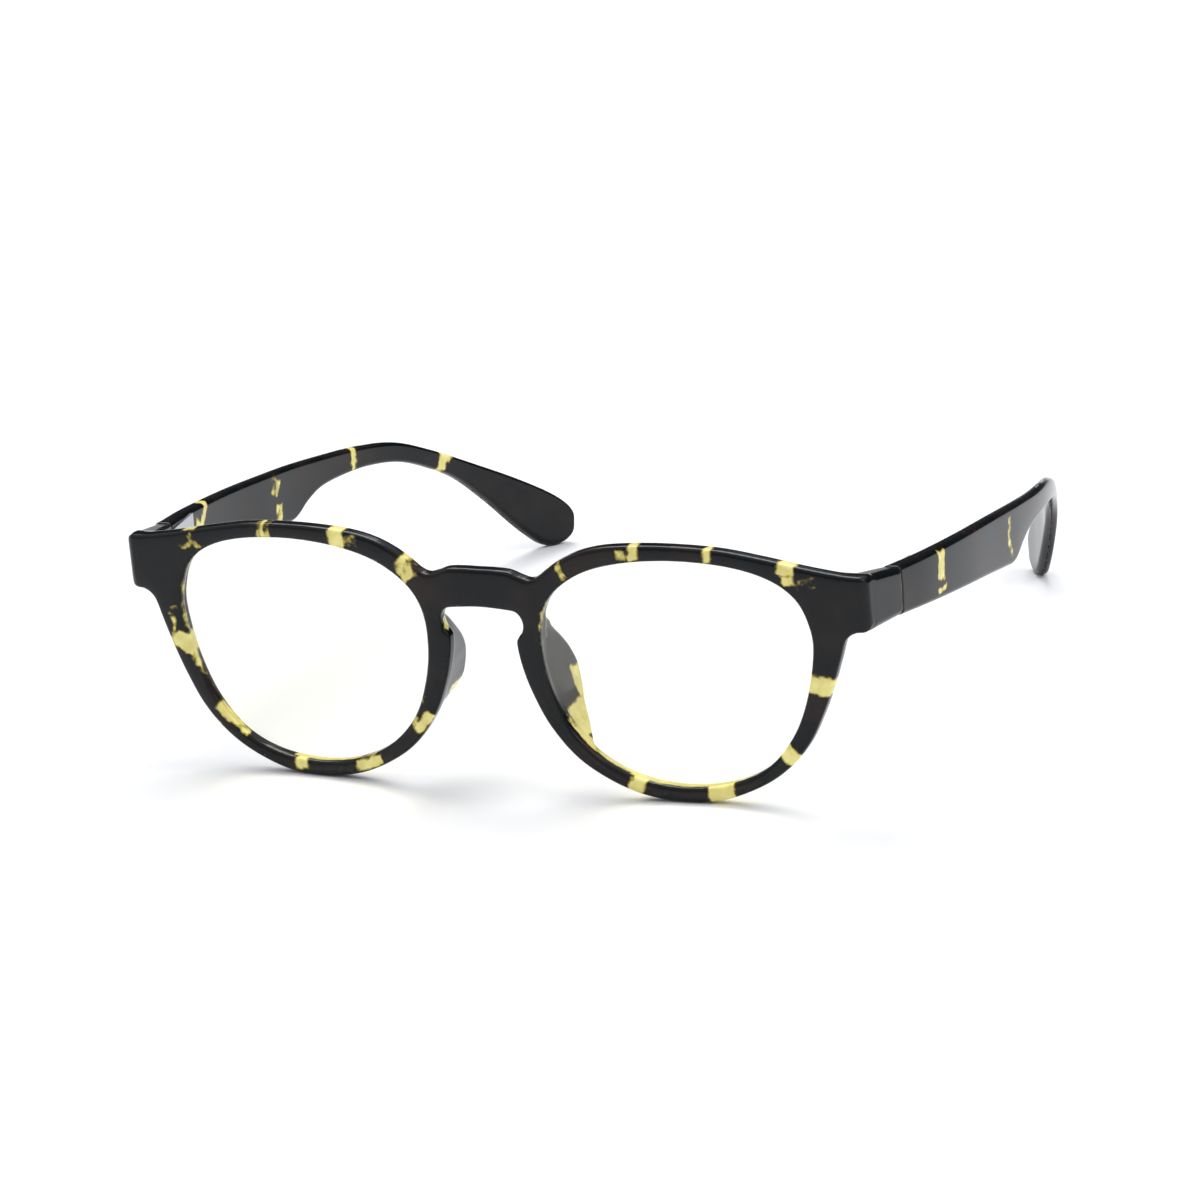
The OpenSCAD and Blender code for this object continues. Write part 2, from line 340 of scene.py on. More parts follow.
def new_piece(name: str, points: np.ndarray, faces: list[np.ndarray],
              material: bpy.types.Material) -> bpy.types.Object:
    """Makes a smooth-shaded mesh object at the origin.

    Args:
        name: The piece's name.
        points: Its points in metres, one per row.
        faces: Arrays of faces, each with one number of corners per face.
        material: Its finish.

    Returns:
        The new object, linked to the scene.
    """
    mesh = bpy.data.meshes.new(name)
    sizes = np.concatenate([np.full(len(group), group.shape[1]) for group in faces])
    loops = np.concatenate([group.ravel() for group in faces])
    mesh.vertices.add(len(points))
    mesh.vertices.foreach_set("co", points.astype(np.float32).ravel())
    mesh.loops.add(len(loops))
    mesh.loops.foreach_set("vertex_index", loops.astype(np.int32))
    mesh.polygons.add(len(sizes))
    mesh.polygons.foreach_set("loop_start", (np.cumsum(sizes) - sizes).astype(np.int32))
    mesh.polygons.foreach_set("loop_total", sizes.astype(np.int32))
    mesh.update(calc_edges=True)
    mesh.validate()
    mesh.polygons.foreach_set("use_smooth", np.ones(len(mesh.polygons), bool))
    mesh.materials.append(material)
    piece = bpy.data.objects.new(name, mesh)
    bpy.context.scene.collection.objects.link(piece)
    return piece


def set_attribute(piece: bpy.types.Object, name: str, values: np.ndarray) -> None:
    """Stores numbers on a piece for its finish to read.

    Args:
        piece: The piece.
        name: The attribute's name.
        values: One number per point.
    """
    attribute = piece.data.attributes.new(name, "FLOAT", "POINT")
    attribute.data.foreach_set("value", values.astype(np.float32))


# --------------------------------------------------------------------------- finishes


class Nodes:
    """A short way to write a material's or a group's node tree."""

    def __init__(self, tree: bpy.types.NodeTree) -> None:
        """Takes the tree to write in."""
        self.tree = tree

    def add(self, kind: str, **settings: object) -> bpy.types.Node:
        """Adds a node.

        Args:
            kind: The node's type, without the ShaderNode in front.
            settings: Values for its properties, or for its inputs by name with
                underscores for spaces; an output socket given for an input is linked.

        Returns:
            The new node.
        """
        node = self.tree.nodes.new(f"ShaderNode{kind}")
        for key, value in settings.items():
            if hasattr(node, key):
                setattr(node, key, value)
            else:
                self.feed(node.inputs[key.replace("_", " ")], value)
        return node

    def feed(self, socket: bpy.types.NodeSocket, value: object) -> None:
        """Links an output to a socket, or sets the socket's own value.

        Args:
            socket: The input to feed.
            value: An output socket, or a plain value.
        """
        if isinstance(value, bpy.types.NodeSocket):
            self.tree.links.new(value, socket)
        else:
            socket.default_value = value

    def maths(self, operation: str, *values: object) -> bpy.types.NodeSocket:
        """Adds a Math node.

        Args:
            operation: What it does, as Blender names it.
            values: Up to three numbers or outputs.

        Returns:
            Its result.
        """
        node = self.tree.nodes.new("ShaderNodeMath")
        node.operation = operation
        for socket, value in zip(node.inputs, values):
            self.feed(socket, value)
        return node.outputs[0]

    def clamped(self, value: object, low: float, high: float) -> bpy.types.NodeSocket:
        """A value held between two limits."""
        return self.maths("MINIMUM", self.maths("MAXIMUM", value, low), high)

    def between(self, share: object, low: object, high: object) -> bpy.types.NodeSocket:
        """Mixes two colours.

        Args:
            share: The share of the second colour, from 0 to 1.
            low: The first colour.
            high: The second colour.

        Returns:
            The mixed colour.
        """
        node = self.tree.nodes.new("ShaderNodeMix")
        node.data_type = "RGBA"
        self.feed(node.inputs["Factor"], share)
        self.feed(node.inputs["A"], low)
        self.feed(node.inputs["B"], high)
        return node.outputs["Result"]

    def ramp(self, share: object, stops: list[tuple[float, Colour]]) -> bpy.types.NodeSocket:
        """Adds a colour ramp.

        Args:
            share: Where on the ramp to read, from 0 to 1.
            stops: Its stops, each a place and a colour.

        Returns:
            The ramp's colour.
        """
        node = self.tree.nodes.new("ShaderNodeValToRGB")
        self.feed(node.inputs[0], share)
        elements = node.color_ramp.elements
        while len(elements) < len(stops):
            elements.new(1.0)
        for element, (place, colour) in zip(elements, stops):
            element.position = place
            element.color = (*colour, 1.0)
        return node.outputs[0]

    def noise(self, where: bpy.types.NodeSocket, size: float, detail: float = 2.0) -> bpy.types.NodeSocket:
        """Noise about `size` metres across, from 0 to 1."""
        return self.add("TexNoise", Vector=where, Scale=1.0 / size, Detail=detail).outputs[0]


def new_material(name: str) -> tuple[bpy.types.Material, Nodes, bpy.types.Node]:
    """A material with one Principled shader.

    Args:
        name: The material's name.

    Returns:
        The material, its nodes and the shader.
    """
    material = bpy.data.materials.new(name)
    material.use_nodes = True
    nodes = Nodes(material.node_tree)
    shader = next(n for n in material.node_tree.nodes if n.type == "BSDF_PRINCIPLED")
    return material, nodes, shader


def polish_marks() -> bpy.types.NodeTree:
    """A group for handled, polished surfaces: uneven gloss and a very shallow ripple.

    Its inputs are the place, the mean roughness, how far the roughness wanders and the
    ripple's scale; its outputs are Roughness and Height.  The roughness is the mean plus
    the wander times wide smears and fine specks, less a half.

    Returns:
        The group, made once and shared by every finish.
    """
    found = bpy.data.node_groups.get("polish_marks")
    if found:
        return found
    group = bpy.data.node_groups.new("polish_marks", "ShaderNodeTree")
    face = group.interface
    face.new_socket("Place", in_out="INPUT", socket_type="NodeSocketVector")
    for name, value in (("Roughness", 0.15), ("Wander", 0.05), ("Ripple", 500.0)):
        face.new_socket(name, in_out="INPUT", socket_type="NodeSocketFloat").default_value = value
    face.new_socket("Roughness", in_out="OUTPUT", socket_type="NodeSocketFloat")
    face.new_socket("Height", in_out="OUTPUT", socket_type="NodeSocketFloat")
    nodes = Nodes(group)
    given = group.nodes.new("NodeGroupInput")
    made = group.nodes.new("NodeGroupOutput")
    smears = nodes.noise(given.outputs["Place"], 0.009, 3.0)
    fine = nodes.noise(given.outputs["Place"], 0.0008, 2.0)
    mixed = nodes.maths("ADD", nodes.maths("MULTIPLY", smears, 0.7), nodes.maths("MULTIPLY", fine, 0.3))
    offset = nodes.maths("MULTIPLY", nodes.maths("SUBTRACT", mixed, 0.5), given.outputs["Wander"])
    nodes.feed(made.inputs["Roughness"], nodes.maths("ADD", given.outputs["Roughness"], offset))
    ripple = nodes.add("TexNoise", Vector=given.outputs["Place"], Scale=given.outputs["Ripple"], Detail=1.0)
    nodes.feed(made.inputs["Height"], ripple.outputs[0])
    return group


def add_polish(nodes: Nodes, shader: bpy.types.Node, place: bpy.types.NodeSocket, roughness: float,
               wander: float, ripple_size: float, depth: float) -> None:
    """Feeds a shader's roughness and normal from the polish marks.

    Args:
        nodes: The material's nodes.
        shader: Its Principled shader.
        place: Object coordinates.
        roughness: The mean roughness.
        wander: How far the roughness wanders.
        ripple_size: Width of the ripples in metres.
        depth: Height of the ripples in metres.
    """
    marks = nodes.tree.nodes.new("ShaderNodeGroup")
    marks.node_tree = polish_marks()
    nodes.feed(marks.inputs["Place"], place)
    for name, value in (("Roughness", roughness), ("Wander", wander), ("Ripple", 1.0 / ripple_size)):
        nodes.feed(marks.inputs[name], value)
    nodes.feed(shader.inputs["Roughness"], marks.outputs["Roughness"])
    bump = nodes.add("Bump", Strength=1.0, Distance=depth, Height=marks.outputs["Height"])
    nodes.feed(shader.inputs["Normal"], bump.outputs[0])


@dataclass(frozen=True)
class TortoiseFinish:
    """Polished tortoise plastic: black-brown with clear straw-yellow patches.

    Sizes of the noises are in metres.  `wander` and `streaks` say how far, in
    millimetres, the wide and the fine noise move a patch's edge.  The three pairs hold
    a gain and an offset: from a patch's depth to its place on the ramp, and from a
    noise to a share of brown or of haze.
    """

    black: Colour = (0.0026, 0.0042, 0.0054)
    brown: Colour = (0.0170, 0.0100, 0.0085)
    olive: Colour = (0.085, 0.068, 0.022)
    deep_yellow: Colour = (0.52, 0.43, 0.085)
    straw: Colour = (0.90, 0.82, 0.33)
    tear_size: float = 0.0019
    streak_size: float = 0.0007
    cloud_size: float = 0.012
    haze_size: float = 0.003
    wander: float = 1.7
    streaks: float = 0.22
    depth_to_ramp: tuple[float, float] = (1.5, 0.38)
    noise_to_cloud: tuple[float, float] = (3.6, -1.6)
    noise_to_haze: tuple[float, float] = (1.4, -0.45)
    most_haze: float = 0.4
    edge_sharpness: float = 4.0
    roughness: float = 0.15
    specular_level: float = 0.24
    glow: float = 0.25
    glow_depth: float = 0.0015

    def build(self) -> bpy.types.Material:
        """Makes the material.

        A patch's depth, moved by the two noises, runs along a ramp from brown through
        olive and deep yellow to straw.  Some of the straw is hazed back towards deep
        yellow.  Outside the patches the plastic is black, clouded with brown.

        Returns:
            The material, which reads each piece's patch attribute.
        """
        material, nodes, shader = new_material("tortoise_plastic")
        place = nodes.add("TexCoord").outputs["Object"]
        patch = nodes.add("Attribute", attribute_name=PATCH_ATTRIBUTE).outputs["Fac"]
        wide = nodes.maths("SUBTRACT", nodes.noise(place, self.tear_size), 0.5)
        fine = nodes.maths("SUBTRACT", nodes.noise(place, self.streak_size), 0.5)
        torn = nodes.maths("MULTIPLY_ADD", wide, self.wander, nodes.maths("MULTIPLY", fine, self.streaks))
        share = nodes.maths("MULTIPLY_ADD", nodes.maths("ADD", patch, torn), *self.depth_to_ramp)
        cloud = nodes.maths("MULTIPLY_ADD", nodes.noise(place, self.cloud_size), *self.noise_to_cloud)
        dark = nodes.between(nodes.clamped(cloud, 0.0, 1.0), (*self.black, 1.0), (*self.brown, 1.0))
        bright = nodes.ramp(share, [(0.0, self.brown), (0.3, self.olive), (0.6, self.deep_yellow),
                                    (0.9, self.straw)])
        dull = nodes.ramp(share, [(0.3, self.olive), (0.75, self.deep_yellow)])
        haze = nodes.maths("MULTIPLY_ADD", nodes.noise(place, self.haze_size), *self.noise_to_haze)
        clear = nodes.between(nodes.clamped(haze, 0.0, self.most_haze), bright, dull)
        inside = nodes.clamped(nodes.maths("MULTIPLY", share, self.edge_sharpness), 0.0, 1.0)
        nodes.feed(shader.inputs["Base Color"], nodes.between(inside, dark, clear))
        shader.inputs["IOR"].default_value = 1.5
        shader.inputs["Specular IOR Level"].default_value = self.specular_level
        shader.inputs["Subsurface Weight"].default_value = self.glow
        shader.inputs["Subsurface Radius"].default_value = (1.0, 0.8, 0.3)
        shader.inputs["Subsurface Scale"].default_value = self.glow_depth
        add_polish(nodes, shader, place, self.roughness, 0.08, 0.004, 0.000006)
        return material


@dataclass(frozen=True)
class LensFinish:
    """Clear polished lens plastic with a faint warm tint."""

    tint: Colour = (0.96, 0.955, 0.88)
    roughness: float = 0.01

    def build(self) -> bpy.types.Material:
        """Makes the material.

        Rays from lamps pass straight through it, so that the lenses cast no shadow.

        Returns:
            The material.
        """
        material, nodes, shader = new_material("lens_clear")
        shader.inputs["Base Color"].default_value = (*self.tint, 1.0)
        shader.inputs["Transmission Weight"].default_value = 1.0
        shader.inputs["IOR"].default_value = 1.49
        place = nodes.add("TexCoord").outputs["Object"]
        add_polish(nodes, shader, place, self.roughness, 0.01, 0.02, 0.0000004)
        lamp_ray = nodes.add("LightPath").outputs["Is Shadow Ray"]
        through = nodes.add("BsdfTransparent", Color=(*self.tint, 1.0))
        mixed = nodes.add("MixShader")
        nodes.feed(mixed.inputs[0], lamp_ray)
        nodes.feed(mixed.inputs[1], shader.outputs[0])
        nodes.feed(mixed.inputs[2], through.outputs[0])
        output = next(n for n in material.node_tree.nodes if n.type == "OUTPUT_MATERIAL")
        nodes.feed(output.inputs["Surface"], mixed.outputs[0])
        return material


class SteelKind(Enum):
    """The two steels of a hinge: name, colour, roughness and how far it wanders."""

    LEAF = ("hinge_steel", (0.56, 0.57, 0.59), 0.30, 0.16)
    SCREW = ("screw_steel", (0.66, 0.66, 0.67), 0.18, 0.10)


@dataclass(frozen=True)
class SteelFinish:
    """Satin nickel-coated steel with fine turning and brushing marks."""

    kind: SteelKind
    worn: float = 0.72
    brush_size: float = 0.0012
    brush_squash: float = 12.0

    def build(self) -> bpy.types.Material:
        """Makes the material, slightly darker where handling has left marks.

        Returns:
            The material.
        """
        name, colour, roughness, wander = self.kind.value
        material, nodes, shader = new_material(name)
        place = nodes.add("TexCoord").outputs["Object"]
        squashed = nodes.add("Mapping", Vector=place, Scale=(1.0, 1.0, self.brush_squash)).outputs[0]
        brushed = nodes.noise(squashed, self.brush_size, 3.0)
        worn = tuple(self.worn * part for part in colour)
        nodes.feed(shader.inputs["Base Color"], nodes.between(brushed, (*worn, 1.0), (*colour, 1.0)))
        shader.inputs["Metallic"].default_value = 1.0
        add_polish(nodes, shader, place, roughness, wander, 0.0004, 0.000003)
        return material


@dataclass(frozen=True)
class FloorFinish:
    """Matt white studio sweep."""

    colour: Colour = (0.94, 0.94, 0.95)

    def build(self) -> bpy.types.Material:
        """Makes the material, with a barely visible unevenness.

        Returns:
            The material.
        """
        material, nodes, shader = new_material("floor_white")
        place = nodes.add("TexCoord").outputs["Object"]
        dim = tuple(0.985 * part for part in self.colour)
        uneven = nodes.between(nodes.noise(place, 0.05, 3.0), (*dim, 1.0), (*self.colour, 1.0))
        nodes.feed(shader.inputs["Base Color"], uneven)
        shader.inputs["Roughness"].default_value = 0.75
        shader.inputs["Specular IOR Level"].default_value = 0.15
        return material


# --------------------------------------------------------------------------- patches


@dataclass(frozen=True)
class Patch:
    """A clear patch in the plastic: a box with a middle, half sizes and a turn.

    On the front the three directions are across, depth behind the front's surface and
    height; on a temple they are depth from the front, depth from the outer face and
    height.  Sizes are in millimetres.  The turn is anticlockwise in degrees about the
    second direction.  `clear` is the deepest that the patch counts: 1 is fully yellow,
    and less than 0.3 stays olive or brown.
    """

    middle: tuple[float, float, float]
    half: tuple[float, float, float]
    turn: float = 0.0
    clear: float = 1.0

    def depth(self, points: np.ndarray) -> np.ndarray:
        """How deep inside the patch each point is, negative outside.

        It is the distance to the box's nearest face, or to its nearest edge outside it.

        Args:
            points: Points, one per row.

        Returns:
            One depth per point in millimetres, at most `clear`.
        """
        angle = math.radians(self.turn)
        off = points - np.array(self.middle)
        along = off[:, 0] * math.cos(angle) + off[:, 2] * math.sin(angle)
        up = off[:, 2] * math.cos(angle) - off[:, 0] * math.sin(angle)
        past = np.abs(np.stack([along, off[:, 1], up], axis=1)) - np.array(self.half)
        outside = np.linalg.norm(np.maximum(past, 0.0), axis=1)
        return np.minimum(-outside - np.minimum(past.max(axis=1), 0.0), self.clear)


def patch_field(points: np.ndarray, patches: list[Patch]) -> np.ndarray:
    """The greatest depth in any patch at each point.

    Args:
        points: Points, one per row.
        patches: The patches.

    Returns:
        One depth per point in millimetres, no lower than 3 mm outside them all.
    """
    deepest = np.full(len(points), -3.0)
    for patch in patches:
        np.maximum(deepest, patch.depth(points), out=deepest)
    return deepest


# --------------------------------------------------------------------------- drawing frame


@dataclass(frozen=True)
class Drawing:
    """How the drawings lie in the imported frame.

    `shift` is the drawings' origin along Y in millimetres.  Front drawings are across,
    depth and height of the front before it leans; side drawings are upright.
    """

    shift: float
    seam: float = 16.5
    lean: float = 3.53

    @classmethod
    def from_frame(cls, frame: dict) -> Drawing:
        """Finds the origin from the right hinge's pin, which lies on the seam.

        Args:
            frame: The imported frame.

        Returns:
            The drawing frame.
        """
        pin = next(j for j in frame["joints"] if j["name"] == "right_fold")
        return cls(shift=pin["pos_m"][1] / MM - cls.seam)

    def place_front(self, points: np.ndarray) -> np.ndarray:
        """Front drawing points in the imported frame, in metres."""
        return self.place_side(self.lean_back(points))

    def place_side(self, points: np.ndarray) -> np.ndarray:
        """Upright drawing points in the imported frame, in metres."""
        return (points + (0.0, self.shift, 0.0)) * MM

    def lean_back(self, points: np.ndarray) -> np.ndarray:
        """Turns front drawing points about X by the lean.

        Args:
            points: Front drawing points, one per row.

        Returns:
            The leaning points, in millimetres.
        """
        along, up = math.cos(math.radians(self.lean)), math.sin(math.radians(self.lean))
        x, d, s = points.T
        return np.stack([x, d * along - s * up, d * up + s * along], axis=1)


# --------------------------------------------------------------------------- front


APERTURE = [
    (61.5, 29.0), (61.1, 34.2), (59.0, 39.0), (54.5, 42.5), (47.5, 44.7), (38.0, 45.6),
    (28.5, 45.0), (20.5, 42.9), (14.6, 39.0), (11.7, 34.2), (11.1, 28.0), (12.2, 20.8),
    (15.2, 13.3), (20.6, 7.5), (27.8, 3.9), (36.0, 2.7), (44.5, 3.7), (51.5, 7.0),
    (56.5, 12.8), (59.7, 20.2),
]
LENS_MIDDLE = (36.3, 24.2)


@dataclass
class Front:
    """The moulded front: both rims, the keyhole bridge, the end pieces and the pads.

    Sizes are in millimetres.  The brow and under curves are (across, height), the arm's
    inside, outer face and start are (across, depth), and its side is (depth, height),
    all on the right half.  The pad's root is (across, height) and its rim is (across,
    depth, height).  The arm runs back from each end piece to the hinge, and its fillet
    with the rim grows from `fillet_front` behind `fillet_from`.  The pad is worked out
    as far across as the first of `pad_reach` and between its two heights.
    """

    drawing: Drawing
    finish: bpy.types.Material
    thickness: float = 3.9
    wrap_radius: float = 476.0
    crown: float = 0.28
    crown_width: float = 2.3
    front_edge: float = 0.55
    back_edge: float = 0.6
    outer_back_edge: float = 1.9
    corner: float = 1.5
    arm_edge: float = 0.8
    seam_edge: float = 0.18
    arm_from: tuple[float, float] = (56.0, 1.5)
    fillet_front: float = 0.06
    fillet_growth: float = 1.3
    fillet_from: float = 2.2
    fillet_run: float = 1.5
    pad_fillet: float = 0.9
    cell: float = 0.28
    brow: list[Flat] = field(default_factory=lambda: [
        (-8.0, 41.5), (-5.8, 42.3), (-3.0, 42.5), (0, 42.5), (3.0, 42.5), (5.8, 42.3),
        (8.0, 41.5), (9.8, 41.0), (11.4, 41.5), (13.2, 42.9), (16.2, 45.0), (20.5, 46.9),
        (26.0, 48.0), (35.0, 48.4), (45.0, 47.9), (53.0, 46.5), (60.0, 44.9), (66.0, 43.7),
        (69.5, 43.2), (78.0, 42.6),
    ])
    under: list[Flat] = field(default_factory=lambda: [
        (78.0, 32.9), (70.5, 32.8), (69.3, 32.6), (68.6, 32.3), (67.7, 31.5), (67.1, 30.3),
        (66.2, 27.4), (64.4, 22.2), (62.2, 16.9), (59.4, 11.6), (55.4, 7.0), (50.2, 3.4),
        (43.0, 0.6), (35.8, 0.0), (28.6, 0.9), (22.0, 3.5), (16.0, 7.6), (11.4, 13.4),
        (8.6, 19.4), (7.1, 24.4), (6.5, 28.6), (6.9, 29.9), (7.7, 31.0), (8.0, 32.4),
        (7.6, 33.8), (6.7, 34.7), (5.0, 35.0), (2.5, 35.2), (0, 35.3), (-2.5, 35.2),
        (-5.0, 35.0), (-6.7, 34.7),
    ])
    arm_inside: list[Flat] = field(default_factory=lambda: [
        (63.0, 6.5), (64.6, 8.1), (66.6, 9.2), (67.9, 11.0), (68.5, 13.4), (69.3, 17.4), (70.2, 21.5),
    ])
    arm_side: list[Flat] = field(default_factory=lambda: [
        (3.0, 43.6), (7.0, 43.0), (24.0, 39.1), (24.0, 30.8), (6.0, 32.8), (3.0, 32.8),
    ])
    outer_face: tuple[Flat, Flat] = ((72.3, 7.4), (73.75, 21.5))
    pad_root: list[Flat] = field(default_factory=lambda: [
        (8.5, 34.5), (8.2, 32.0), (7.9, 30.0), (7.4, 27.5), (7.9, 24.4), (9.3, 19.4),
        (12.1, 13.4), (16.6, 7.9),
    ])
    pad_rim: list[tuple[float, float, float]] = field(default_factory=lambda: [
        (9.2, 3.4, 34.2), (9.5, 5.9, 32.0), (9.2, 7.7, 30.1), (9.4, 10.7, 27.2), (9.6, 12.7, 25.0),
        (9.9, 14.1, 22.7), (10.3, 14.7, 20.7), (10.6, 14.7, 18.9), (11.0, 14.3, 17.0),
        (11.8, 13.0, 15.2), (12.9, 11.0, 13.7), (14.5, 8.5, 11.5), (16.6, 4.6, 8.6),
    ])
    pad_thickness: float = 2.1
    pad_roundness: float = 0.48
    pad_lean: float = 0.12
    pad_from: float = 1.2
    pad_reach: tuple[float, Flat] = (24.0, (4.0, 38.0))
    map_step: float = 0.2

    def __post_init__(self) -> None:
        """Measures the outlines once, on grids that cover the space round the front.

        The arm's plan is closed far outside the front, because the outer face cuts it.
        """
        outline = np.vstack([smooth_curve(self.brow, 8), smooth_curve(self.under, 8)])
        aperture = smooth_curve(APERTURE, 10, closed=True)
        front, back, top, beyond = -2.0, 23.0, 51.0, 90.0
        step = self.map_step
        self.outline_map = OutlineMap(outline, (-1.0, -2.0), (77.0, top), step)
        self.aperture_map = OutlineMap(aperture, (-1.0, -2.0), (77.0, top), step)
        inside = smooth_curve(self.arm_inside, 8)
        plan = np.vstack([inside, [(beyond, inside[-1, 1]), (beyond, inside[0, 1])]])
        self.plan_map = OutlineMap(plan, (55.0, front), (82.0, back), step)
        self.side_map = OutlineMap(np.array(self.arm_side), (front, 25.0), (back, top), step)
        rim = smooth_curve(self.pad_rim, 8)[::-1]
        root = smooth_curve(self.pad_root, 8)[::-1]
        self.pad_edge_x, self.pad_back, self.pad_heights = rim.T
        self.root_x, self.root_heights = root.T
        tab = np.vstack([rim[:, 1:], [(self.pad_from, rim[-1, 2]), (self.pad_from, rim[0, 2])]])
        self.tab_map = OutlineMap(tab, (front, 0.0), (back, top), step)

    def behind_surface(self, points: np.ndarray) -> np.ndarray:
        """Depth behind the front's curved surface, a cylinder of the wrap radius."""
        sag = self.wrap_radius - np.sqrt(self.wrap_radius**2 - points[:, 0] ** 2)
        return points[:, 1] - sag

    def pad(self, points: np.ndarray) -> np.ndarray:
        """Signed distance to the right nose pad.

        The pad is a tab seen from the side, and its middle surface is ruled: at each
        height it runs straight from the rim's nose side to the pad's rear edge.  The
        distance across it is divided by the length of the surface's gradient, the
        root of 1 plus the squares of its slopes, of which the one along the height
        is taken as the same all over.

        Args:
            points: Front drawing points with X above zero.

        Returns:
            One distance per point.
        """
        x, d, s = points.T
        back = np.interp(s, self.pad_heights, self.pad_back)
        start = np.interp(s, self.root_heights, self.root_x)
        end = np.interp(s, self.pad_heights, self.pad_edge_x)
        slope = (end - start) / back
        middle = start + slope * d + 0.5 * self.pad_thickness
        across = np.abs(x - middle) / np.sqrt(1.0 + slope**2 + self.pad_lean) - 0.5 * self.pad_thickness
        return rounded_both(across, self.tab_map(d, s), self.pad_roundness * self.pad_thickness)

    def distance(self, points: np.ndarray) -> np.ndarray:
        """Signed distance to the whole front.

        The rims are the outline less the aperture, cut from a curved slab whose front
        is crowned.  The arm is its plan and its side view together.  Both are joined,
        cut by the outer face and the seam, and the pad is blended on.

        Args:
            points: Front drawing points, one per row.

        Returns:
            One distance per point in millimetres, negative inside.
        """
        p = points.copy()
        p[:, 0] = np.abs(p[:, 0])
        x, s = p[:, 0], p[:, 2]
        behind = self.behind_surface(p)
        outline, aperture = self.outline_map(x, s), -self.aperture_map(x, s)
        flat = np.maximum(outline, aperture)
        fall = np.clip(1.0 + flat / self.crown_width, 0.0, 1.0) ** 2 * self.crown
        half = 0.5 * self.thickness
        front = -(behind - fall)
        back = behind - self.thickness
        front_half = rounded_both(flat, front, self.front_edge)
        outer_back = rounded_both(outline, back, self.outer_back_edge)
        inner_back = rounded_both(aperture, back, self.back_edge)
        solid = np.where(behind < half, front_half, np.maximum(outer_back, inner_back))
        near = x > self.arm_from[0]
        if near.any():
            solid[near] = self.with_arm(p[near], solid[near], behind[near])
        across, (low, high) = self.pad_reach
        nasal = (x < across) & (s > low) & (s < high)
        if nasal.any():
            solid[nasal] = blended_either(solid[nasal], self.pad(p[nasal]), self.pad_fillet)
        return solid

    def with_arm(self, points: np.ndarray, slab: np.ndarray, behind: np.ndarray) -> np.ndarray:
        """Joins the arm to the rim, and cuts both by the outer face and the seam.

        The outer face is the upright plane through its two plan points, and the seam is
        upright when the front leans.

        Args:
            points: Front drawing points near the arm, with X above zero.
            slab: Signed distance to the rims at each point.
            behind: Depth behind the front's surface at each point.

        Returns:
            One distance per point.
        """
        x, d, s = points.T
        arm = rounded_both(self.plan_map(x, d), self.side_map(d, s), self.arm_edge)
        arm = np.maximum(arm, self.arm_from[1] - behind)
        growth = np.clip((behind - self.fillet_from) / self.fillet_run, 0.0, 1.0)
        joined = blended_either(slab, arm, self.fillet_front + self.fillet_growth * growth)
        (ax, ad), (bx, bd) = self.outer_face
        outside = ((x - ax) * (bd - ad) - (d - ad) * (bx - ax)) / math.hypot(bx - ax, bd - ad)
        seam = self.drawing.lean_back(points)[:, 1] - self.drawing.seam
        return rounded_both(rounded_both(joined, outside, self.corner), seam, self.seam_edge)

    def patches(self) -> list[Patch]:
        """The clear patches of the front, as (across, depth, height).

        Returns:
            The right half's patches and then the left half's.
        """

        def whole(x: float, s: float, half_x: float, half_s: float,
                  turn: float = 0.0, clear: float = 1.0) -> Patch:
            """A patch that runs right through the rim."""
            return Patch((x, 2.0, s), (half_x, 3.2, half_s), turn, clear)

        right = [
            whole(16.4, 43.0, 0.45, 1.6, 25, 0.02),
            whole(28.0, 46.6, 0.9, 0.9, 0, 0.15),
            whole(30.2, 47.4, 0.95, 1.8, 5),
            whole(44.0, 47.3, 0.8, 1.8, 0),
            whole(58.0, 44.9, 1.55, 1.3, -8),
            whole(58.3, 42.6, 1.2, 1.0, 10, 0.7),
            whole(61.4, 42.0, 1.6, 0.8, 10, -0.12),
            whole(62.7, 22.9, 2.9, 1.75, -14),
            Patch((61.8, 2.6, 26.6), (0.5, 1.4, 3.2), 0, 0.3),
            whole(56.0, 9.7, 1.6, 2.9, 49),
            whole(42.8, 2.3, 2.6, 2.2, 6),
            whole(27.0, 2.7, 1.5, 2.2, -25, 0.9),
            Patch((36.0, 3.2, 3.0), (13.5, 1.9, 1.9), 0),
            Patch((21.0, 3.4, 8.2), (6.5, 1.6, 1.3), -40, 0.5),
            Patch((53.5, 3.2, 8.6), (1.0, 1.6, 5.5), 46, 0.5),
            Patch((12.8, 13.2, 16.2), (4.0, 2.3, 4.6), 0),
            Patch((13.4, 9.6, 13.2), (3.5, 4.4, 2.3), 0),
            Patch((14.6, 6.0, 11.8), (3.0, 4.4, 1.9), -40),
            Patch((12.0, 1.1, 33.5), (0.8, 0.5, 4.6), 0, 0.05),
            Patch((12.6, 4.8, 29.3), (1.5, 0.35, 0.45), 0, 0.5),
        ]
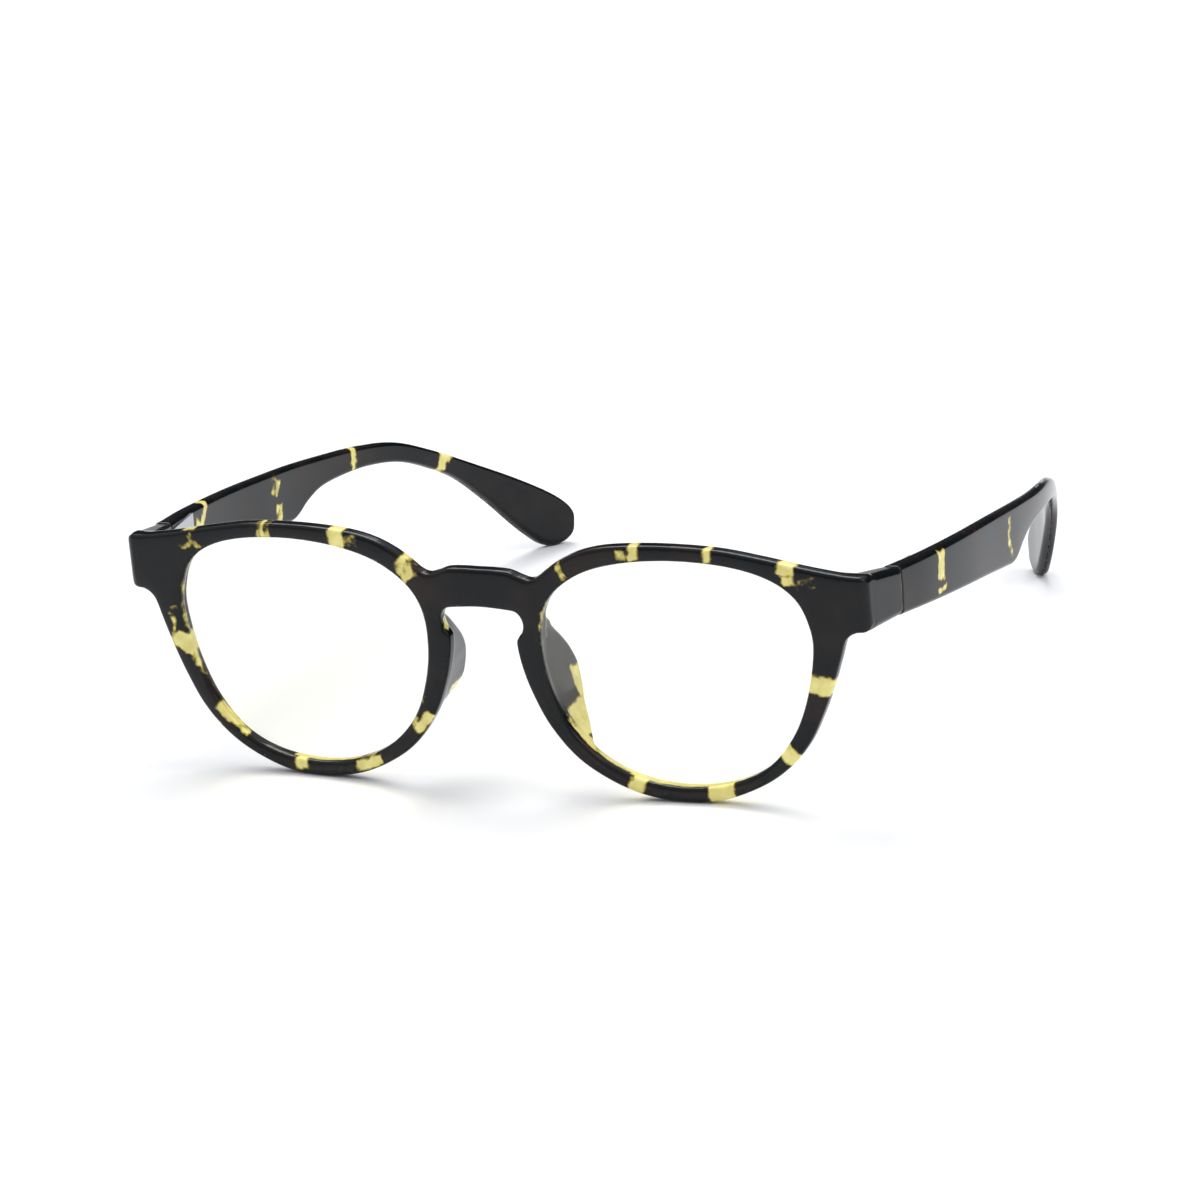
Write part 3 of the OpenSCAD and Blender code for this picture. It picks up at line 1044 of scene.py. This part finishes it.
        left = [
            whole(-58.9, 42.6, 1.3, 0.35, 30, 0.02),
            whole(-57.3, 43.4, 1.5, 0.45, -50, 0.06),
            Patch((-58.6, 2.2, 45.4), (1.6, 1.5, 0.9), 0),
            whole(-42.2, 46.8, 1.3, 1.3, 0, 0.12),
            whole(-42.4, 47.4, 0.6, 1.9, 0, 0.6),
            whole(-27.3, 46.9, 1.6, 2.3, 0),
            whole(-24.6, 46.4, 1.4, 0.9, 0, -0.1),
            whole(-14.2, 41.7, 1.5, 2.2, 35, 0.3),
            whole(-61.6, 23.4, 2.4, 1.9, -25),
            whole(-63.6, 26.6, 0.45, 1.4, 5, 0.5),
            whole(-64.4, 23.6, 0.9, 1.4, 10, 0.05),
            whole(-63.0, 29.6, 1.6, 0.5, 10, -0.22),
            Patch((-61.2, 1.2, 33.0), (0.45, 0.6, 7.0), 4, 0.0),
            Patch((-56.2, 1.4, 15.5), (0.8, 1.1, 7.5), 35, 0.3),
            Patch((-53.2, 1.4, 9.2), (4.0, 2.0, 1.0), -38, 0.9),
            whole(-56.8, 8.6, 0.8, 0.4, -45, 0.8),
            whole(-39.5, 2.8, 1.3, 1.7, 0, 0.8),
            Patch((-34.5, 3.2, 3.1), (7.0, 1.8, 1.5), 0),
            whole(-25.2, 3.6, 2.9, 1.1, 20),
            whole(-13.3, 12.4, 2.4, 0.9, 48, 0.7),
            whole(-12.9, 16.8, 0.35, 0.9, -20, 0.0),
            whole(-15.2, 12.7, 0.5, 1.0, -30, 0.1),
            Patch((-12.8, 10.6, 14.6), (3.5, 3.0, 2.2), 0),
            Patch((-8.5, 2.4, 31.4), (1.4, 1.2, 1.2), 0, 0.8),
        ]
        return right + left

    def build(self) -> bpy.types.Object:
        """Makes the front, gives it its pattern and hangs it on its body.

        Returns:
            The finished piece.
        """
        low, high = np.array([-76.0, -0.8, -1.2]), np.array([75.5, 20.0, 49.4])
        points, faces = skin(self.distance, low, high, self.cell)
        piece = new_piece("front_frame_moulded", self.drawing.place_front(points), [faces], self.finish)
        drawn = np.stack([points[:, 0], self.behind_surface(points), points[:, 2]], axis=1)
        set_attribute(piece, PATCH_ATTRIBUTE, patch_field(drawn, self.patches()))
        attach(piece, "front")
        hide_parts("front_frame")
        return piece


# --------------------------------------------------------------------------- lenses


@dataclass
class Lens:
    """One lens: two round surfaces cut to the aperture's outline, in millimetres."""

    drawing: Drawing
    finish: bpy.types.Material
    side: Side
    wrap_radius: float = 476.0
    front_radius: float = 180.0
    back_radius: float = 286.0
    middle_thickness: float = 2.0
    in_groove: float = 0.75
    rings: int = 40

    def build(self) -> bpy.types.Object:
        """Makes the lens.

        A point at share r of the way from the middle to the edge and at angle t round
        the edge lies on the front or the back sphere, whose depth is
        radius - sqrt(radius^2 - distance^2) behind its own middle.

        Returns:
            The finished piece.
        """
        edge = smooth_curve(APERTURE, 8, closed=True)
        run = np.roll(edge, -1, axis=0) - np.roll(edge, 1, axis=0)
        outward = np.stack([run[:, 1], -run[:, 0]], axis=1) / np.linalg.norm(run, axis=1)[:, None]
        edge = edge + outward * self.in_groove
        shares = np.linspace(1.0, 0.0, self.rings + 1)[:-1]
        reach = edge - np.array(LENS_MIDDLE)
        flat = (shares[:, None, None] * reach).reshape(-1, 2)
        flat = np.vstack([flat, [(0.0, 0.0)]])
        front = self.on_sphere(flat, self.front_radius, 0.0)
        back = self.on_sphere(flat, self.back_radius, self.middle_thickness)
        columns = len(edge)
        faces = grid_faces(self.rings, columns)
        centre = len(flat) - 1
        last = (self.rings - 1) * columns + np.arange(columns)
        tips = np.stack([last, np.roll(last, -1), np.full(columns, centre)], axis=1)
        first = np.arange(columns)
        next_one = np.roll(first, -1)
        wall = np.stack([first, first + len(flat), next_one + len(flat), next_one], axis=1)
        points = np.vstack([front, back])
        quads = [faces, faces[:, ::-1] + len(flat), wall]
        fans = [tips, tips[:, ::-1] + len(flat)]
        if self.side is Side.LEFT:
            points = points * (-1.0, 1.0, 1.0)
            quads = [group[:, ::-1] for group in quads]
            fans = [group[:, ::-1] for group in fans]
        name = f"lens_{self.side.label}"
        piece = new_piece(f"{name}_polished", self.drawing.place_front(points),
                          [np.concatenate(quads), np.concatenate(fans)], self.finish)
        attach(piece, "front")
        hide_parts(name)
        return piece

    def on_sphere(self, flat: np.ndarray, radius: float, behind: float) -> np.ndarray:
        """Puts flat points round the lens's middle on one of its spheres.

        Args:
            flat: Points across and up from the lens's middle.
            radius: The sphere's radius.
            behind: How far the sphere's middle is behind the lens's front.

        Returns:
            Points of the front drawing, with the lens turned to face out of the curve
            of the front at its middle.
        """
        turn = math.asin(LENS_MIDDLE[0] / self.wrap_radius)
        start = self.wrap_radius * (1 - math.cos(turn))
        depth = behind + radius - np.sqrt(radius**2 - (flat**2).sum(axis=1))
        along = (flat[:, 0] + depth * math.sin(turn)) / math.cos(turn)
        x, s = LENS_MIDDLE[0] + flat[:, 0], LENS_MIDDLE[1] + flat[:, 1]
        return np.stack([x, start + along * math.sin(turn) + depth * math.cos(turn), s], axis=1)


# --------------------------------------------------------------------------- temples


@dataclass
class Temple:
    """One temple: a flat arm that drops behind the ear, in millimetres.

    Side points are (depth, height) and plan points are (across, depth), both drawn for
    the right temple.  `gap` is left at the seam, and `crowding` above 1 sets the
    stations closer together towards the tip.
    """

    drawing: Drawing
    finish: bpy.types.Material
    side: Side
    hinge_thickness: float = 3.6
    tip_thickness: float = 2.4
    gap: float = 0.12
    edge: float = 0.95
    crown: float = 0.16
    stations: int = 440
    crowding: float = 1.35
    start_length: float = 0.25
    start_round: float = 0.2
    top: list[Flat] = field(default_factory=lambda: [
        (16.5, 41.5), (30, 40.4), (50, 38.6), (70, 36.5), (85, 34.6), (97, 33.0),
        (107, 30.9), (116, 27.0), (125, 22.2), (134, 16.9), (141.5, 11.8), (145.4, 8.2),
        (146.75, 5.4), (146.85, 3.9),
    ])
    foot: list[Flat] = field(default_factory=lambda: [
        (16.5, 32.5), (30, 31.0), (50, 28.5), (66, 26.2), (70.2, 25.6), (73, 26.1),
        (76.5, 27.6), (82, 28.9), (90, 29.0), (99, 28.4), (108, 26.6), (116, 23.1),
        (123, 18.8), (129.5, 12.6), (135.2, 6.0), (138.2, 2.8), (140.5, 0.8),
        (142.7, 0.02), (145.0, 0.6), (146.45, 2.2), (146.85, 3.9),
    ])
    plan: list[Flat] = field(default_factory=lambda: [
        (73.4, 16.5), (74.6, 29), (75.08, 45), (74.75, 60), (74.15, 75), (72.6, 90),
        (70.0, 103), (66.3, 115), (61.5, 127.5), (55.3, 139), (48.0, 151),
    ])

    def patches(self) -> list[Patch]:
        """The clear patches of this temple, as (depth, depth from the outer face, height).

        Returns:
            The patches, each right through the temple.
        """
        through = 5.0
        if self.side is Side.RIGHT:
            return [
                Patch((32.6, 0.0, 36.9), (1.5, through, 2.7), -8, 0.6),
                Patch((32.8, 0.0, 32.5), (1.8, through, 0.4), 0, 0.3),
                Patch((67.6, 0.0, 32.5), (0.7, through, 2.6), -10, 0.12),
                Patch((68.2, 0.0, 28.9), (0.7, through, 1.6), 12, -0.05),
            ]
        return [
            Patch((33.4, 0.0, 38.2), (0.9, through, 3.4), -35, 0.7),
            Patch((30.9, 0.0, 35.3), (2.5, through, 1.9), -35, 0.8),
            Patch((63.8, 0.0, 34.2), (1.2, through, 1.5), -35, 0.12),
            Patch((63.4, 0.0, 35.6), (0.7, through, 0.9), 20, 0.12),
            Patch((64.4, 0.0, 28.6), (1.2, through, 2.0), -10, 0.25),
            Patch((93.2, 0.0, 31.5), (0.9, through, 2.7), -6, 0.8),
            Patch((118.2, 0.0, 24.0), (1.1, through, 1.9), -20, 0.8),
            Patch((120.3, 0.0, 24.6), (0.9, through, 1.2), -60, 0.5),
        ]

    def build(self) -> bpy.types.Object:
        """Makes the temple as a rounded section carried from the hinge to the tip.

        The section's height runs from the foot curve to the top curve at the same share
        of their lengths, and its thickness is laid inwards from the plan curve.  The
        section's edges are quarter circles, and near both ends it draws in as a circle
        does, so the ends are rounded too.

        Returns:
            The finished piece.
        """
        shares = 1.0 - (1.0 - np.linspace(0.0, 1.0, self.stations)) ** self.crowding
        top = evenly_spaced(smooth_curve(self.top, 24), shares)
        foot = evenly_spaced(smooth_curve(self.foot, 24), shares)
        middle, half = 0.5 * (top + foot), 0.5 * np.linalg.norm(top - foot, axis=1)
        upward = (top - foot) / np.maximum(2 * half, 1e-9)[:, None]
        upward[-1] = upward[-2]
        length = np.concatenate([[0.0], np.cumsum(np.linalg.norm(np.diff(middle, axis=0), axis=1))])
        plan = smooth_curve(self.plan, 16)
        done = np.interp(middle[:, 0], plan[:, 1], np.linspace(0.0, 1.0, len(plan)))
        thick = self.tip_thickness + (self.hinge_thickness - self.tip_thickness) * (1.0 - done) ** 3
        to_tip = np.clip(length[-1] - length, 0.0, self.edge)
        drawn_in = self.edge - np.sqrt(self.edge**2 - (self.edge - to_tip) ** 2)
        half_thick = 0.5 * thick - drawn_in
        start = np.clip(1.0 - length / self.start_length, 0.0, 1.0) ** 2 * self.start_round
        half, half_thick = half - start, half_thick - start
        radius = np.minimum(self.edge, np.minimum(half, half_thick))
        height, across = self.section(half, half_thick, radius)
        flat = middle[:, None, :] + height[..., None] * upward[:, None, :]
        depth = flat[..., 0]
        bulge = self.crown * (1 - np.clip(np.abs(height) / np.maximum(half, 1e-6)[:, None], 0, 1) ** 2)
        inward = 0.5 * thick[:, None] - across + np.where(across > 0, self.crown - bulge, 0.0)
        slope = np.interp(depth, plan[:, 1], np.gradient(plan[:, 0], plan[:, 1]))
        x = np.interp(depth, plan[:, 1], plan[:, 0]) - inward * np.sqrt(1.0 + slope**2)
        points = np.stack([x, depth, flat[..., 1]], axis=-1).reshape(-1, 3)
        points[:, 1] = np.maximum(points[:, 1], self.drawing.seam + self.gap)
        rows, columns = self.stations, height.shape[1]
        quads = grid_faces(rows, columns)
        first = np.arange(columns)
        cap = np.stack([np.roll(first, -1), first, np.full(columns, len(points))], axis=1)
        points = np.vstack([points, points[:columns].mean(axis=0)])
        from_outer_face = np.append(inward.ravel(), thick[0] / 2)
        drawn = np.stack([points[:, 1], from_outer_face, points[:, 2]], axis=1)
        if self.side is Side.LEFT:
            points = points * (-1.0, 1.0, 1.0)
            quads, cap = quads[:, ::-1], cap[:, ::-1]
        name = f"temple_{self.side.label}"
        piece = new_piece(f"{name}_polished", self.drawing.place_side(points), [quads, cap], self.finish)
        set_attribute(piece, PATCH_ATTRIBUTE, patch_field(drawn, self.patches()))
        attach(piece, self.side.body)
        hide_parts(name)
        return piece

    def section(self, half: np.ndarray, half_thick: np.ndarray,
                radius: np.ndarray) -> tuple[np.ndarray, np.ndarray]:
        """The section's outline at every station: a rectangle with round corners.

        Each point is a corner's centre, times its sign or its share of a straight run,
        plus the radius times the sine or cosine of its angle.  The second half of the
        outline is the first half turned round.

        Args:
            half: Half height at each station.
            half_thick: Half thickness at each station.
            radius: Corner radius at each station.

        Returns:
            Heights and thicknesses from the middle, one row per station.
        """
        arc = np.linspace(0.0, 0.5 * math.pi, 7)
        face = np.linspace(-1.0, 1.0, 30)[1:-1]
        rim = np.linspace(-1.0, 1.0, 5)[1:-1]
        on_face, on_rim, on_arc = np.ones_like(face), np.ones_like(rim), np.ones_like(arc)
        up = np.concatenate([face, on_arc, on_rim, on_arc])
        out = np.concatenate([on_face, on_arc, -rim, -on_arc])
        rise = np.concatenate([0 * face, np.sin(arc), on_rim, np.cos(arc)])
        wide = np.concatenate([on_face, np.cos(arc), 0 * rim, -np.sin(arc)])
        up, out, rise, wide = (np.concatenate([part, -part]) for part in (up, out, rise, wide))
        heights = up * (half - radius)[:, None] + rise * radius[:, None]
        thicknesses = out * (half_thick - radius)[:, None] + wide * radius[:, None]
        return heights, thicknesses


# --------------------------------------------------------------------------- hinges


@dataclass
class Hinge:
    """One hinge: two leaves, the screw that is its pin, and the leaves' own screws."""

    side: Side
    leaf_finish: bpy.types.Material
    screw_finish: bpy.types.Material

    def dress(self, nodes: dict[str, bpy.types.Object]) -> None:
        """Gives the hinge's CAD nodes their steels.

        Args:
            nodes: The frame's objects by node name.
        """
        leaves = ("front_leaf", "temple_leaf")
        screws = ("hinge_screw", "front_leaf_screws", "temple_leaf_screws")
        for names, finish in ((leaves, self.leaf_finish), (screws, self.screw_finish)):
            for name in names:
                materials = nodes[f"{name}_{self.side.label}"].data.materials
                materials.clear()
                materials.append(finish)


# --------------------------------------------------------------------------- studio


@dataclass(frozen=True)
class Studio:
    """A white sweep under a broad soft light, and the camera.

    Places and sizes are in metres and angles in degrees.  The bands give where the
    dim card behind the viewer and the dark wall behind the glasses fade out, as parts
    of the direction along Y and, for the wall's top, along Z.
    """

    camera_at: tuple[float, float, float] = (0.5180, -1.1625, 0.4075)
    yaw: float = 24.43
    pitch: float = 17.17
    roll: float = -4.06
    lens: float = 213.4
    floor_size: float = 12.0
    sky: Colour = (0.97, 0.99, 1.02)
    sky_strength: float = 0.85
    dim_card: float = 0.45
    card_band: tuple[float, float] = (-0.9, -0.45)
    dark_wall: float = 0.05
    wall_band: tuple[float, float] = (0.2, 0.5)
    wall_top: tuple[float, float] = (0.45, 0.62)

    def floor(self) -> None:
        """Lays the square floor at Z = 0."""
        square = np.array([(-1.0, -1.0, 0.0), (1.0, -1.0, 0.0), (1.0, 1.0, 0.0), (-1.0, 1.0, 0.0)])
        points = 0.5 * self.floor_size * square
        new_piece("studio_floor", points, [np.array([[0, 1, 2, 3]])], FloorFinish().build())

    def world(self) -> None:
        """A white room with a dark wall behind the glasses and a dimmer one behind the viewer."""
        world = bpy.data.worlds.new("studio")
        bpy.context.scene.world = world
        world.use_nodes = True
        nodes = Nodes(world.node_tree)
        parts = nodes.add("SeparateXYZ", Vector=nodes.add("TexCoord").outputs["Generated"])
        y, z = parts.outputs["Y"], parts.outputs["Z"]
        card = nodes.add("MapRange", Value=y, From_Min=self.card_band[0], From_Max=self.card_band[1],
                         To_Min=self.dim_card, To_Max=1.0)
        behind = nodes.add("MapRange", Value=y, From_Min=self.wall_band[0], From_Max=self.wall_band[1])
        low = nodes.add("MapRange", Value=z, From_Min=self.wall_top[1], From_Max=self.wall_top[0])
        dark = nodes.maths("MULTIPLY", behind.outputs[0], low.outputs[0])
        lit = nodes.maths("MULTIPLY_ADD", dark, self.dark_wall - 1.0, 1.0)
        level = nodes.maths("MULTIPLY", nodes.maths("MULTIPLY", card.outputs[0], lit), self.sky_strength)
        background = next(n for n in world.node_tree.nodes if n.type == "BACKGROUND")
        background.inputs["Color"].default_value = (*self.sky, 1.0)
        nodes.feed(background.inputs["Strength"], level)

    def lamp(self, name: str, at: tuple[float, float, float], size: float, power: float) -> None:
        """Hangs a square white soft box that looks at the origin.

        Args:
            name: The lamp's name.
            at: Its place in metres.
            size: Its side in metres.
            power: Its power in watts.
        """
        light = bpy.data.lights.new(name, "AREA")
        light.size, light.energy = size, power
        lamp = bpy.data.objects.new(name, light)
        lamp.location = at
        lamp.rotation_mode = "QUATERNION"
        lamp.rotation_quaternion = (-Vector(at)).to_track_quat("-Z", "Y")
        bpy.context.scene.collection.objects.link(lamp)

    def camera(self) -> None:
        """Sets the camera from its place, yaw, pitch and roll.

        It looks along +Y turned left by the yaw and down by the pitch, and its own
        right and up are then turned about that line by the roll.
        """
        yaw, pitch, roll = (math.radians(x) for x in (self.yaw, self.pitch, self.roll))
        look = Vector((-math.sin(yaw) * math.cos(pitch), math.cos(yaw) * math.cos(pitch), -math.sin(pitch)))
        right = Vector((math.cos(yaw), math.sin(yaw), 0.0))
        up = right.cross(look)
        across = math.cos(roll) * right + math.sin(roll) * up
        upward = -math.sin(roll) * right + math.cos(roll) * up
        data = bpy.data.cameras.new("camera")
        data.lens, data.sensor_width = self.lens, 36.0
        data.clip_start, data.clip_end = 0.01, 50.0
        camera = bpy.data.objects.new("camera", data)
        turn = Matrix((across, upward, -look)).transposed().to_4x4()
        camera.matrix_world = Matrix.Translation(self.camera_at) @ turn
        bpy.context.scene.collection.objects.link(camera)
        bpy.context.scene.camera = camera

    def build(self) -> None:
        """Sets up the floor, the light and the camera."""
        self.camera()
        self.floor()
        self.world()
        self.lamp("key_softbox", at=(-0.5, 0.9, 1.6), size=1.2, power=22.0)
        self.lamp("fill_softbox", at=(1.1, 0.1, 1.1), size=0.9, power=6.0)
        bpy.context.scene.view_settings.view_transform = "Standard"


# --------------------------------------------------------------------------- main


def corners(box: tuple[Vector, Vector]) -> list[list[float]]:
    """A box's two corners as plain lists."""
    return [list(corner) for corner in box]


def main() -> None:
    """Builds every piece round the frame, in order."""
    logging.basicConfig(level=logging.INFO, format="%(name)s: %(message)s")
    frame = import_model()
    drawing = Drawing.from_frame(frame)
    Studio().build()
    plastic = TortoiseFinish().build()
    clear = LensFinish().build()
    leaf_steel = SteelFinish(SteelKind.LEAF).build()
    screw_steel = SteelFinish(SteelKind.SCREW).build()
    pieces = [Front(drawing, plastic).build()]
    for side in Side:
        pieces.append(Lens(drawing, clear, side).build())
        pieces.append(Temple(drawing, plastic, side).build())
        Hinge(side, leaf_steel, screw_steel).dress(frame["nodes"])
    for piece in pieces:
        log.info("%s: %d faces", piece.name, len(piece.data.polygons))


if __name__ == "__main__":
    main()
